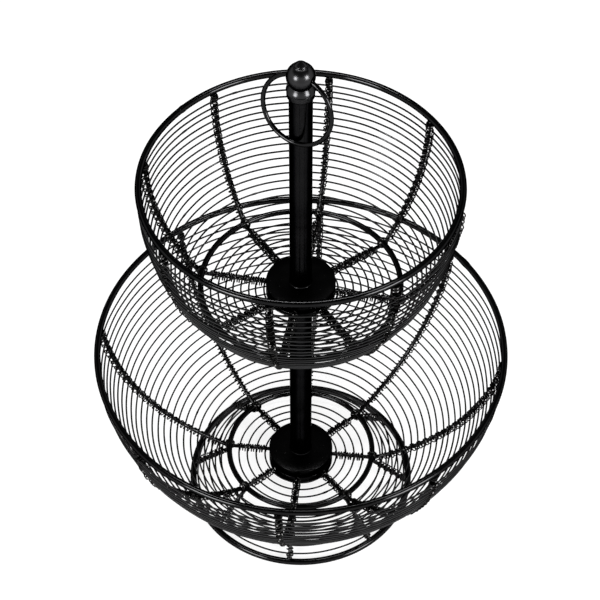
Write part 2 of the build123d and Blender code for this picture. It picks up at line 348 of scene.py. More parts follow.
class Link:
    """A socket's value, with the arithmetic that patterns are written in."""

    def __init__(self, graph: "Graph", socket: bpy.types.NodeSocket) -> None:
        """Wrap a socket.

        Args:
            graph: The material's graph.
            socket: The output that carries the value.
        """
        self.graph = graph
        self.socket = socket

    def _sum(self, operation: str, first: Number, second: Number) -> "Link":
        """Add one Math node."""
        made = self.graph.node("ShaderNodeMath", {"operation": operation}, {0: first, 1: second})
        return Link(self.graph, made.outputs[0])

    def __add__(self, other: Number) -> "Link":
        """This plus a value."""
        return self._sum("ADD", self, other)

    def __radd__(self, other: Number) -> "Link":
        """A value plus this."""
        return self._sum("ADD", other, self)

    def __sub__(self, other: Number) -> "Link":
        """This less a value."""
        return self._sum("SUBTRACT", self, other)

    def __rsub__(self, other: Number) -> "Link":
        """A value less this."""
        return self._sum("SUBTRACT", other, self)

    def __mul__(self, other: Number) -> "Link":
        """This times a value."""
        return self._sum("MULTIPLY", self, other)

    def __rmul__(self, other: Number) -> "Link":
        """A value times this."""
        return self._sum("MULTIPLY", other, self)

    def above(self, edge: float, softness: float) -> "Link":
        """A soft mask: 0 under an edge and 1 past it.

        Args:
            edge: Where the mask starts.
            softness: How much more the value takes to reach 1.

        Returns:
            The mask.
        """
        made = self.graph.node(
            "ShaderNodeMapRange", {"interpolation_type": "SMOOTHSTEP"},
            {"Value": self, "From Min": edge, "From Max": edge + softness},
        )
        return Link(self.graph, made.outputs["Result"])


class Graph:
    """The nodes of one material, or of the world."""

    def __init__(self, name: str, world: Optional[bpy.types.World] = None) -> None:
        """Start with no nodes.

        Args:
            name: The material's name.
            world: The world to fill instead of a new material.
        """
        self.material = world or bpy.data.materials.new(name)
        self.material.use_nodes = True
        self.tree = self.material.node_tree
        self.tree.nodes.clear()

    def node(self, kind: str, settings: dict[str, Any], inputs: dict[Any, Any]) -> bpy.types.Node:
        """Add a node, set it, then feed its sockets.

        Args:
            kind: The node's type.
            settings: Its own values, set first.
            inputs: Values or links by socket name or number.

        Returns:
            The node.
        """
        made = self.tree.nodes.new(kind)
        for name, value in settings.items():
            setattr(made, name, value)
        for name, value in inputs.items():
            if isinstance(value, Link):
                self.tree.links.new(value.socket, made.inputs[name])
            else:
                made.inputs[name].default_value = value
        return made

    def place(self) -> Link:
        """Where a point lies on its own piece."""
        made = self.node("ShaderNodeTexCoord", {}, {})
        return Link(self, made.outputs["Object"])

    def noise(self, place: Link, grain: float, detail: float = 3.0, roughness: float = 0.5) -> Link:
        """Soft noise from 0 to 1.

        Args:
            place: Where to read it.
            grain: The size of one patch, in metres.
            detail: How many finer layers lie on it.
            roughness: How strong those are.

        Returns:
            The noise.
        """
        made = self.node(
            "ShaderNodeTexNoise", {},
            {"Vector": place, "Scale": 1.0 / grain, "Detail": detail, "Roughness": roughness},
        )
        return Link(self, made.outputs[0])

    def mix(self, share: Number, first: Any, second: Any) -> Link:
        """A colour between two, by a share."""
        made = self.node("ShaderNodeMix", {"data_type": "RGBA"}, {0: share, 6: first, 7: second})
        return Link(self, made.outputs[2])

    def finish(self, shader: bpy.types.Node) -> bpy.types.Material:
        """Send a shader to the surface and give back the material."""
        self.node("ShaderNodeOutputMaterial", {}, {"Surface": Link(self, shader.outputs[0])})
        return self.material


Colour = tuple[float, float, float, float]


@dataclass(frozen=True)
class BlackPaint:
    """Deep black gloss paint on steel: a dark mirror with dull patches, pinholes and rubbed specks."""

    name: str
    dark: Colour = (0.009, 0.009, 0.0093, 1.0)
    light: Colour = (0.022, 0.022, 0.0225, 1.0)
    rubbed: Colour = (0.16, 0.155, 0.15, 1.0)
    roughness: float = 0.13
    roughness_spread: float = 0.1
    patch: float = 0.018
    grain: float = 0.0009
    grain_height: float = 0.000008
    rub_edge: float = 0.7

    def material(self) -> bpy.types.Material:
        """Build the paint's nodes."""
        graph = Graph(self.name)
        place = graph.place()
        patches = graph.noise(place, self.patch, 4.0)
        grain = graph.noise(place, self.grain, 2.0, 0.6)
        specks = graph.noise(place, self.grain * 2.6, 5.0, 0.7)
        rubbed = specks.above(self.rub_edge, 0.06)
        colour = graph.mix(patches, self.dark, self.light)
        colour = graph.mix(rubbed * 0.7, colour, self.rubbed)
        roughness = self.roughness + (patches - 0.5) * self.roughness_spread + rubbed * 0.2
        bump = graph.node(
            "ShaderNodeBump", {},
            {"Height": grain * 0.7 + specks * 0.5, "Strength": 0.5, "Distance": self.grain_height},
        )
        paint = graph.node(
            "ShaderNodeBsdfPrincipled", {},
            {
                "Base Color": colour, "Metallic": 1.0, "Roughness": roughness,
                "Normal": Link(graph, bump.outputs[0]), "Specular Tint": (0.0, 0.0, 0.0, 1.0),
            },
        )
        return graph.finish(paint)


@dataclass(frozen=True)
class BareSteel:
    """Zinc plated steel of the rod, washer and nut under the basket."""

    name: str
    bright: Colour = (0.46, 0.47, 0.48, 1.0)
    dull: Colour = (0.27, 0.27, 0.27, 1.0)
    patch: float = 0.004
    roughness: float = 0.34

    def material(self) -> bpy.types.Material:
        """Build the steel's nodes."""
        graph = Graph(self.name)
        place = graph.place()
        patches = graph.noise(place, self.patch, 5.0, 0.6)
        marks = graph.noise(place, self.patch * 0.15, 3.0)
        bump = graph.node("ShaderNodeBump", {}, {"Height": marks, "Strength": 0.4, "Distance": 0.00004})
        steel = graph.node(
            "ShaderNodeBsdfPrincipled", {},
            {
                "Base Color": graph.mix(patches, self.dull, self.bright), "Metallic": 1.0,
                "Roughness": self.roughness + (patches - 0.5) * 0.25,
                "Normal": Link(graph, bump.outputs[0]),
            },
        )
        return graph.finish(steel)


@dataclass
class Paints:
    """Every finish on the basket."""

    stout: bpy.types.Material = field(init=False)
    thin: bpy.types.Material = field(init=False)
    binding: bpy.types.Material = field(init=False)
    post: bpy.types.Material = field(init=False)
    hub: bpy.types.Material = field(init=False)
    gloss: bpy.types.Material = field(init=False)
    steel: bpy.types.Material = field(init=False)

    def __post_init__(self) -> None:
        """Mix the finishes."""
        self.stout = BlackPaint("stout_wire_paint").material()
        self.thin = BlackPaint(
            "hoop_paint", dark=(0.026, 0.026, 0.0265, 1.0), light=(0.072, 0.072, 0.073, 1.0),
            roughness=0.16, grain=0.0007,
        ).material()
        self.binding = BlackPaint(
            "binding_wire_paint", light=(0.05, 0.049, 0.048, 1.0), rubbed=(0.3, 0.29, 0.28, 1.0),
            roughness=0.16, grain=0.0006, patch=0.006, rub_edge=0.64,
        ).material()
        self.post = BlackPaint(
            "post_paint", dark=(0.008, 0.008, 0.0085, 1.0), light=(0.02, 0.02, 0.0205, 1.0), roughness=0.18,
            grain=0.0014, grain_height=0.000012, rub_edge=0.71,
        ).material()
        self.hub = BlackPaint(
            "hub_paint", dark=(0.004, 0.004, 0.0042, 1.0), light=(0.012, 0.012, 0.0122, 1.0),
            rubbed=(0.42, 0.41, 0.4, 1.0), roughness=0.22, grain=0.0005, grain_height=0.00001,
            rub_edge=0.685,
        ).material()
        self.gloss = BlackPaint(
            "finial_gloss", dark=(0.026, 0.026, 0.027, 1.0), light=(0.036, 0.036, 0.037, 1.0),
            roughness=0.23, roughness_spread=0.05, grain=0.002, grain_height=0.000005, rub_edge=0.78,
        ).material()
        self.steel = BareSteel("bare_steel").material()


# The basket

Place = Callable[[float, float], tuple[float, float]]


@dataclass(frozen=True)
class Wires:
    """The wires, by diameter, and how close they lie."""

    rim: float = 0.0048
    base: float = 0.0042
    foot: float = 0.0050
    rib: float = 0.0030
    rib_sides: int = 14
    hoop: float = 0.0013
    binding: float = 0.0010
    gap: float = 0.00005

    @property
    def hoop_out(self) -> float:
        """From a rib's middle out to the middle of a hoop on it."""
        return (self.rib + self.hoop) / 2 + self.gap


@dataclass(frozen=True)
class Wrap:
    """One manner of winding: how far from the rib's middle the wire passes, and how often it goes round."""

    inside: float
    outside: float
    beside: float
    turns: int
    spread: float


LOOSE = Wrap(inside=0.00205, outside=0.0035, beside=0.0021, turns=2, spread=0.5)
CLOSE = Wrap(inside=0.0021, outside=0.0034, beside=0.0024, turns=3, spread=0.3)
TIGHT = Wrap(inside=0.0021, outside=0.0021, beside=0.0022, turns=1, spread=0.0)


@dataclass
class Binding:
    """The fine wire that ties hoops to ribs, with the slack of work done by hand."""

    wires: Wires
    stray: float = 0.0008
    points_per_turn: int = 10
    tie_loops: int = 6
    tie_slack: float = 1.06
    tie_reach: float = 0.52
    tie_spacing: float = 1.3

    def winding(
        self, place: Place, angle: float, first: float, pitch: float, hoops: int, wrap: Wrap,
        chance: random.Random,
    ) -> list[Vector]:
        """Points of a wire wound along a rib, with one turn passing over each hoop.

        Args:
            place: Gives radius and height for a run along the rib and a distance out of it.
            angle: Where the rib lies round the post, in radians.
            first: The run of the first hoop.
            pitch: The run from hoop to hoop.
            hoops: How many hoops the wire takes in.
            wrap: How it is wound.
            chance: Draws the unevenness.

        Returns:
            The points, from the inside of the rib on.
        """
        swell = 3.0 / (2.0 + math.cos(math.tau / self.points_per_turn))
        loops = wrap.turns * (hoops - 1) + 1
        lifts = [chance.uniform(-0.3, 1.0) * self.stray for _ in range(loops + 1)]
        leans = [chance.uniform(-0.12, 0.12) * pitch / wrap.turns for _ in range(loops + 1)]
        bulges = [chance.uniform(-0.15, 0.7) * self.stray for _ in range(2 * loops + 1)]
        middle = (wrap.outside - wrap.inside) / 2
        reach = (wrap.outside + wrap.inside) / 2 * swell
        points = []
        for index in range(loops * self.points_per_turn + 1):
            turn = index / self.points_per_turn
            loop = int(turn)
            swing = math.tau * (turn - 0.5)
            weight = (1.0 + math.cos(swing)) / 2
            share = (turn - 0.5) / wrap.turns
            share += wrap.spread * math.sin(math.tau * share) / math.tau
            points.append(self.spot(
                place, angle, first + pitch * share + weight * leans[loop],
                middle + reach * math.cos(swing) + weight * lifts[loop],
                (wrap.beside * swell + bulges[int(2.0 * turn)]) * math.sin(swing),
            ))
        return points

    @staticmethod
    def spot(place: Place, angle: float, run: float, out: float, side: float) -> Vector:
        """A point beside a rib.

        Args:
            place: Gives radius and height for a run along the rib and a distance out of it.
            angle: Where the rib lies round the post, in radians.
            run: How far along the rib.
            out: How far out of the rib's middle.
            side: How far to the rib's side.

        Returns:
            The point.
        """
        radius, height = place(run, out)
        return Vector((
            radius * math.cos(angle) - side * math.sin(angle),
            radius * math.sin(angle) + side * math.cos(angle),
            height,
        ))

    def cross_tie(
        self, middle: Vector, along: Vector, aside: Vector, inward: Vector, rod: float, ring: float,
        chance: random.Random,
    ) -> list[Vector]:
        """Points of a wire bound crosswise over a rod and a ring that lies on it.

        Args:
            middle: The rod's middle where they cross.
            along: The rod's way.
            aside: The ring's way.
            inward: From the rod to the ring.
            rod: The rod's diameter.
            ring: The ring's diameter.
            chance: Draws the unevenness.

        Returns:
            The points of the loops, half of them each way.
        """
        wire = self.wires.binding
        low = -(rod + wire) / 2
        high = rod / 2 + ring + wire / 2
        tall = (high - low) / 2 * self.tie_slack
        wide = (rod + ring) * self.tie_reach
        points = []
        loops = self.tie_loops
        for index in range(loops * self.points_per_turn + 1):
            turn = index / self.points_per_turn
            loop = min(int(turn), loops - 1)
            way = 1.0 if loop < loops / 2 else -1.0
            swing = math.tau * turn
            across = (along + aside * way).normalized()
            beside = (along - aside * way).normalized()
            shift = (loop % 3 - 1.0) * wire * self.tie_spacing + chance.uniform(-0.1, 0.1) * wire
            points.append(
                middle + inward * ((low + high) / 2 - tall * math.cos(swing))
                + across * wide * math.sin(swing) + beside * shift
            )
        return points


@dataclass
class Bowl:
    """One wire bowl: rim, base ring, hoops, ribs and the wire that binds them."""

    tier: Tier
    wires: Wires
    binding: Binding
    rim_radius: float
    rim_height: float
    base_radius: float
    base_height: float
    slope: float
    wall_hoops: int
    rim_clear: float
    floor_hoops: int
    floor_clear: float
    floor_pitch: float
    turn: float
    seam: float
    rib_count: int = 8
    rib_inner_radius: float = 0.014
    rib_inset: float = 0.001
    rib_end_gap: float = 0.0002
    rim_seam: tuple[float, float] = (0.0022, 0.00028)
    base_seam: tuple[float, float] = (0.0018, 0.00022)
    hoop_seam: tuple[float, float] = (0.0016, 0.00018)
    seam_apart: float = 70.0
    rim_weld: tuple[float, float, float] = (0.0017, 0.0021, 0.0011)
    sway: float = 0.0011
    rim_wave: float = 0.09
    base_wave: float = 0.07
    rib_wave: float = 0.05
    hoop_wave: float = 0.034
    hoop_wave_spread: float = 0.02
    tie_pitch: float = 0.00115
    tie_turns: int = 4
    tie_end_clear: float = 0.0010

    def __post_init__(self) -> None:
        """Work out the line of a rib: level floor, bend under the base ring, one arc up the wall."""
        self.bend = (self.wires.base + self.wires.rib) / 2 + self.wires.gap
        self.floor_height = self.base_height - self.bend
        self.start = math.radians(self.slope)
        start_x = self.base_radius + self.bend * math.sin(self.start)
        start_z = self.base_height - self.bend * math.cos(self.start)
        end_x = self.rim_radius - self.rib_inset
        end_z = self.rim_height - self.wires.rim / 2 - self.rib_end_gap
        chord = math.hypot(end_x - start_x, end_z - start_z)
        half = math.atan2(end_z - start_z, end_x - start_x) - self.start
        self.wall_radius = chord / (2.0 * math.sin(half))
        self.wall_angle = 2.0 * half
        self.wall_length = self.wall_radius * self.wall_angle
        self.wall_pitch = (self.wall_length - self.rim_clear) / self.wall_hoops
        self.centre_x = start_x - self.wall_radius * math.sin(self.start)
        self.centre_z = start_z + self.wall_radius * math.cos(self.start)

    def wall_place(self, run: float, out: float) -> tuple[float, float]:
        """Radius and height of a point on the wall."""
        angle = self.start + run / self.wall_radius
        reach = self.wall_radius + out
        return self.centre_x + reach * math.sin(angle), self.centre_z - reach * math.cos(angle)

    def floor_place(self, run: float, out: float) -> tuple[float, float]:
        """Radius and height of a point on the floor, its run told inwards."""
        return self.base_radius - run, self.floor_height - out

    def node(self, name: str) -> str:
        """The name of this bowl's node."""
        return f"{self.tier.value}_{name}"

    def angles(self) -> list[float]:
        """Where each rib lies round the post, in radians."""
        return [math.radians(self.turn + 360.0 / self.rib_count * index) for index in range(self.rib_count)]

    def build(self, paints: Paints) -> None:
        """Make every piece of the bowl.

        Args:
            paints: The basket's finishes.
        """
        self.build_rims(paints)
        self.build_hoops(paints)
        self.build_ribs(paints)
        self.build_bindings(paints)

    def build_rims(self, paints: Paints) -> None:
        """Make the rim, with its welds to the ribs, and the base ring.

        Args:
            paints: The basket's finishes.
        """
        rim = Bench.ring(self.node("rim_wire"), self.rim_radius, self.rim_height, self.wires.rim, 288, 16)
        Bench.weld_seam(rim, self.seam, *self.rim_seam)
        Bench.bend_by_hand(rim, self.sway * 0.5, self.rim_wave)
        lumps = [rim]
        for index, angle in enumerate(self.angles()):
            radius = self.rim_radius - self.rib_inset * 0.7
            spot = Vector((
                radius * math.cos(angle), radius * math.sin(angle), self.rim_height - self.wires.rim * 0.5,
            ))
            lumps.append(Bench.blob(f"rim_weld_{index}", spot, self.rim_weld, angle))
        rim = Bench.join(self.node("rim_wire"), lumps)
        Bench.hand_over(rim, paints.stout, "frame_wire", [self.node("rim")])
        base = Bench.ring(
            self.node("base_wire"), self.base_radius, self.base_height, self.wires.base, 216, 14)
        Bench.weld_seam(base, self.seam + self.seam_apart, *self.base_seam)
        Bench.bend_by_hand(base, self.sway * 0.4, self.base_wave)
        Bench.hand_over(base, paints.stout, "frame_wire", [self.node("base_ring")])

    def build_hoops(self, paints: Paints) -> None:
        """Make the thin hoops of the wall and of the floor.

        Args:
            paints: The basket's finishes.
        """
        out = self.wires.hoop_out
        walls = [self.wall_place(self.wall_pitch * (index + 1), out) for index in range(self.wall_hoops)]
        floors = [
            self.floor_place(self.floor_clear + self.floor_pitch * index, out)
            for index in range(self.floor_hoops)
        ]
        wall_nodes = [self.node("wall_lower_hoops"), self.node("wall_upper_hoops")]
        for name, places, nodes in (
            ("wall_hoops", walls, wall_nodes), ("floor_hoops", floors, [self.node("floor_hoops")]),
        ):
            chance = random.Random(f"{self.tier.value} {name}")
            hoops = []
            for index, (radius, height) in enumerate(places):
                hoop = Bench.ring(f"hoop_{index}", radius, height, self.wires.hoop, 200, 8)
                Bench.weld_seam(hoop, chance.uniform(0.0, 360.0), *self.hoop_seam)
                wave = self.hoop_wave + chance.uniform(0.0, self.hoop_wave_spread)
                Bench.bend_by_hand(hoop, self.sway, wave)
                hoops.append(hoop)
            piece = Bench.join(self.node(f"{name}_wire"), hoops)
            Bench.hand_over(piece, paints.thin, "hoop_wire", nodes)

    def build_ribs(self, paints: Paints) -> None:
        """Bend one rib and copy it round the post.

        Args:
            paints: The basket's finishes.
        """
        Bench.clear()
        bpy.ops.mesh.primitive_circle_add(
            vertices=self.wires.rib_sides, radius=self.wires.rib / 2, fill_type="NOTHING",
            location=(self.rib_inner_radius, 0.0, self.floor_height), rotation=(0.0, math.pi / 2, 0.0),
        )
        rib = bpy.context.object
        rib.name = "rib_pattern"
        bpy.ops.object.transform_apply(location=True, rotation=True, scale=True)
        with Bench.editing(rib):
            bpy.ops.mesh.select_all(action="SELECT")
            pieces = 14
            step = (self.base_radius - self.rib_inner_radius) / pieces
            for _ in range(pieces):
                bpy.ops.mesh.extrude_region_move(TRANSFORM_OT_translate={"value": (step, 0.0, 0.0)})
            for steps, angle, centre in (
                (6, self.start, (self.base_radius, 0.0, self.base_height)),
                (40, self.wall_angle, (self.centre_x, 0.0, self.centre_z)),
            ):
                bpy.ops.mesh.spin(steps=steps, angle=angle, center=centre, axis=(0.0, 1.0, 0.0))
            bpy.ops.mesh.select_all(action="SELECT")
            bpy.ops.mesh.remove_doubles(threshold=MERGE_GAP)
            bpy.ops.mesh.select_all(action="DESELECT")
            bpy.ops.mesh.select_non_manifold()
            bpy.ops.mesh.edge_face_add()
            bpy.ops.mesh.select_all(action="SELECT")
            bpy.ops.mesh.normals_make_consistent(inside=False)
        for index, angle in enumerate(self.angles()):
            copy = Bench.turned_copy(rib, self.node(f"rib_{index + 1}_rod"), angle)
            Bench.bend_by_hand(copy, self.sway * 0.45, self.rib_wave)
            Bench.hand_over(copy, paints.stout, "frame_wire", [self.node(f"rib_{index + 1}")])
        bpy.data.objects.remove(rib)

    def build_bindings(self, paints: Paints) -> None:
        """Wind the fine wire along every rib, each by itself, as no two are wound alike.

        Args:
            paints: The basket's finishes.
        """
        binding = self.binding
        tie_run = self.wall_length - self.tie_end_clear - self.tie_pitch * (self.tie_turns - 0.5)
        for index, angle in enumerate(self.angles()):
            chance = random.Random(f"{self.tier.value} rib {index}")
            away = Vector((math.cos(angle), math.sin(angle), 0.0))
            aside = Vector((-away.y, away.x, 0.0))
            lean = self.start / 2
            radius = self.base_radius + self.bend * math.sin(lean)
            middle = away * radius + Vector((0.0, 0.0, self.base_height - self.bend * math.cos(lean)))
            along = away * math.cos(lean) + Vector((0.0, 0.0, math.sin(lean)))
            inward = Vector((0.0, 0.0, math.cos(lean))) - away * math.sin(lean)
            lines = [
                binding.winding(place, angle, first, pitch, hoops, wrap, chance)
                for place, first, pitch, hoops, wrap in (
                    (self.wall_place, self.wall_pitch, self.wall_pitch, self.wall_hoops, LOOSE),
                    (self.wall_place, tie_run, self.tie_pitch, self.tie_turns, TIGHT),
                    (self.floor_place, self.floor_clear, self.floor_pitch, self.floor_hoops, CLOSE),
                )
            ]
            lines.append(
                binding.cross_tie(middle, along, aside, inward, self.wires.rib, self.wires.base, chance))
            piece = Bench.drawn_wire(self.node(f"binding_{index + 1}"), lines, self.wires.binding)
            Bench.hand_over(piece, paints.binding, "lash_wire", [self.node(f"lashing_{index + 1}")])


@dataclass
class Foot:
    """The flared skirt of struts, hoops and a stout ring that the basket stands on."""

    wires: Wires
    binding: Binding
    bowl: Bowl
    ring_radius: float = 0.0854
    flat: float = 0.0004
    hoops: int = 5
    hoop_pitch: float = 0.0062
    hoop_clear: float = 0.0065
    sole_cut: float = 0.00001
    ring_sway: float = 0.0003
    ring_wave: float = 0.08
    hoop_sway: float = 0.0010
    hoop_wave: float = 0.04
    strut_sway: float = 0.0004
    strut_wave: float = 0.05
    strut_weld: tuple[float, float, float] = (0.0019, 0.0021, 0.0017)
    tie_drop: float = 0.0022
    tie_pitch: float = 0.0011
    tie_turns: int = 3

    def __post_init__(self) -> None:
        """Work out the line of a strut."""
        self.height = self.wires.foot / 2 - self.flat
        top_height = self.bowl.floor_height - self.wires.rib - self.wires.gap
        self.top = Vector((self.bowl.base_radius, 0.0, top_height))
        fall = Vector((self.ring_radius, 0.0, self.height)) - self.top
        self.way = fall.normalized()
        self.length = fall.length - self.wires.foot / 2 - self.wires.gap
        self.out = Vector((-self.way.z, 0.0, self.way.x))

    def place(self, run: float, out: float) -> tuple[float, float]:
        """Radius and height of a point on the foot, its run told up from the foot ring's middle."""
        spot = Vector((self.ring_radius, 0.0, self.height)) - self.way * run + self.out * out
        return spot.x, spot.z

    def build(self, paints: Paints) -> None:
        """Make the foot's ring, hoops, struts and bindings.

        Args:
            paints: The basket's finishes.
        """
        ring = Bench.ring("foot_wire", self.ring_radius, self.height, self.wires.foot, 240, 16)
        Bench.bend_by_hand(ring, self.ring_sway, self.ring_wave)
        with Bench.editing(ring):
            bpy.ops.mesh.select_all(action="SELECT")
            bpy.ops.mesh.bisect(
                plane_co=(0.0, 0.0, self.sole_cut), plane_no=(0.0, 0.0, 1.0), use_fill=True,
                clear_inner=True,
            )
            bpy.ops.mesh.select_all(action="SELECT")
            bpy.ops.mesh.normals_make_consistent(inside=False)
        Bench.hand_over(ring, paints.stout, "frame_wire", ["foot_ring"])
        hoops = []
        for index in range(self.hoops):
            radius, height = self.place(self.hoop_clear + self.hoop_pitch * index, self.wires.hoop_out)
            hoop = Bench.ring(f"foot_hoop_{index}", radius, height, self.wires.hoop, 180, 8)
            Bench.bend_by_hand(hoop, self.hoop_sway, self.hoop_wave)
            hoops.append(hoop)
        piece = Bench.join("foot_hoops_wire", hoops)
        Bench.hand_over(piece, paints.thin, "hoop_wire", ["foot_hoops"])
        self.build_struts(paints)
        self.build_bindings(paints)

    def build_struts(self, paints: Paints) -> None:
        """Draw one strut down from under the bowl, then copy it round.

        Args:
            paints: The basket's finishes.
        """
        Bench.clear()
        pitch = math.atan2(-self.way.z, self.way.x)
        bpy.ops.mesh.primitive_circle_add(
            vertices=self.wires.rib_sides, radius=self.wires.rib / 2, fill_type="NGON",
            location=self.top, rotation=(0.0, math.pi / 2 + pitch, 0.0),
        )
        strut = bpy.context.object
        bpy.ops.object.transform_apply(location=True, rotation=True, scale=True)
        with Bench.editing(strut):
            bpy.ops.mesh.select_all(action="SELECT")
            steps = 10
            step = self.way * (self.length / steps)
            for _ in range(steps):
                bpy.ops.mesh.extrude_region_move(TRANSFORM_OT_translate={"value": step})
            bpy.ops.mesh.select_all(action="SELECT")
            bpy.ops.mesh.normals_make_consistent(inside=False)
        copies = [
            Bench.turned_copy(strut, f"strut_{index + 1}", angle)
            for index, angle in enumerate(self.bowl.angles())
        ]
        bpy.data.objects.remove(strut)
        for index, angle in enumerate(self.bowl.angles()):
            radius, height = self.place(self.wires.foot / 2, 0.0)
            spot = Vector((radius * math.cos(angle), radius * math.sin(angle), height))
            copies.append(Bench.blob(f"foot_weld_{index}", spot, self.strut_weld, angle))
        piece = Bench.join("foot_struts_rod", copies)
        Bench.bend_by_hand(piece, self.strut_sway, self.strut_wave)
        Bench.hand_over(piece, paints.stout, "frame_wire", ["foot_struts"])

    def build_bindings(self, paints: Paints) -> None:
        """Wind the fine wire up every strut.

        Args:
            paints: The basket's finishes.
        """
        lines = []
        for index, angle in enumerate(self.bowl.angles()):
            chance = random.Random(f"strut {index}")
            for first, pitch, hoops, wrap in (
                (self.hoop_clear, self.hoop_pitch, self.hoops, LOOSE),
                (self.hoop_clear - self.tie_drop, self.tie_pitch, self.tie_turns, TIGHT),
            ):
                lines.append(self.binding.winding(self.place, angle, first, pitch, hoops, wrap, chance))
        piece = Bench.drawn_wire("foot_bindings_wire", lines, self.wires.binding)
        Bench.hand_over(piece, paints.binding, "lash_wire", ["foot_lashings"])


@dataclass
class Core:
    """The hubs, the post's two tubes, and the steel that holds them together."""

    wires: Wires
    upper: Bowl
    lower: Bowl
    hub_radius: float = 0.0248
    top_thickness: float = 0.0053
    upper_bottom: float = 0.0040
    lower_bottom: float = 0.0078
    edge_round: float = 0.0007
    hole_radius: float = 0.0031
    upper_tube: float = 0.0079
    lower_tube: float = 0.0083
    wall: float = 0.0012
    fillet: float = 0.0005
    collar_height: float = 0.4070
    plate_sway: float = 0.00025
    plate_wave: float = 0.011
    tube_sway: float = 0.00015
    tube_wave: float = 0.06

    def disc(self, name: str, low: float, high: float) -> bpy.types.Object:
        """One hub plate with rounded edges and the slight unevenness of pressed plate.

        Args:
            name: The piece's name.
            low: The height of its underside.
            high: The height of its top.

        Returns:
            The plate.
        """
        rim = self.hub_radius
        corner = self.edge_round
        flat = rim - corner
        outline = [(self.hole_radius, low), (rim * 0.35, low), (rim * 0.7, low), (flat, low)]
        for step in (1, 2, 3):
            angle = math.pi / 6 * step
            outline.append((flat + corner * math.sin(angle), low + corner - corner * math.cos(angle)))
        outline.append((rim, (low + high) / 2))
        for step in (0, 1, 2, 3):
            angle = math.pi / 6 * step
            outline.append((flat + corner * math.cos(angle), high - corner + corner * math.sin(angle)))
        outline += [(rim * 0.7, high), (rim * 0.35, high)]
        outline += [(self.hole_radius, high), (self.hole_radius, low)]
        plate = Bench.lathe(name, outline, 120)
        Bench.bend_by_hand(plate, self.plate_sway, self.plate_wave)
        return plate

    def tube(self, name: str, radius: float, low: float, high: float) -> bpy.types.Object:
        """One tube of the post, with the thin weld fillet at its foot.

        Args:
            name: The piece's name.
            radius: The tube's outer radius.
            low: The height of its foot.
            high: The height of its top.

        Returns:
            The tube.
        """
        inner = radius - self.wall
        fillet = self.fillet
        outline = [(inner, low), (radius + fillet, low), (radius + fillet * 0.3, low + fillet)]
        steps = 12
        start = low + fillet * 2
        outline += [(radius, start + (high - start) * step / steps) for step in range(steps + 1)]
        outline += [(inner, high), (inner, low)]
        post = Bench.lathe(name, outline, 72)
        Bench.bend_by_hand(post, self.tube_sway, self.tube_wave)
        return post

    def build(self, paints: Paints) -> None:
        """Make the plates and tubes, and dress the steel underneath.

        Args:
            paints: The basket's finishes.
        """
        tops = {}
        feet = {}
        half = self.wires.rib / 2 + self.wires.gap
        for bowl, thickness in ((self.upper, self.upper_bottom), (self.lower, self.lower_bottom)):
            level = bowl.floor_height
            tops[bowl.tier] = level + half + self.top_thickness
            feet[bowl.tier] = level - half - thickness
            plate = self.disc(bowl.node("hub_top_plate"), level + half, tops[bowl.tier])
            Bench.hand_over(plate, paints.hub, "post_black", [bowl.node("hub_top")])
            plate = self.disc(bowl.node("hub_bottom_plate"), feet[bowl.tier], level - half)
            Bench.hand_over(plate, paints.hub, "post_black", [bowl.node("hub_bottom")])
        post = self.tube("upper_post_tube", self.upper_tube, tops[Tier.UPPER], self.collar_height)
        Bench.hand_over(post, paints.post, "post_black", ["upper_post"])
        post = self.tube("lower_post_tube", self.lower_tube, tops[Tier.LOWER], feet[Tier.UPPER])
        Bench.hand_over(post, paints.post, "post_black", ["lower_post"])
        for name in ("tie_rod", "base_washer", "base_nut"):
            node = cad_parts[name]
            if node.material_slots:
                node.material_slots[0].material = paints.steel
            else:
                node.data.materials.append(paints.steel)
            LOG.info("%s: steel", name)


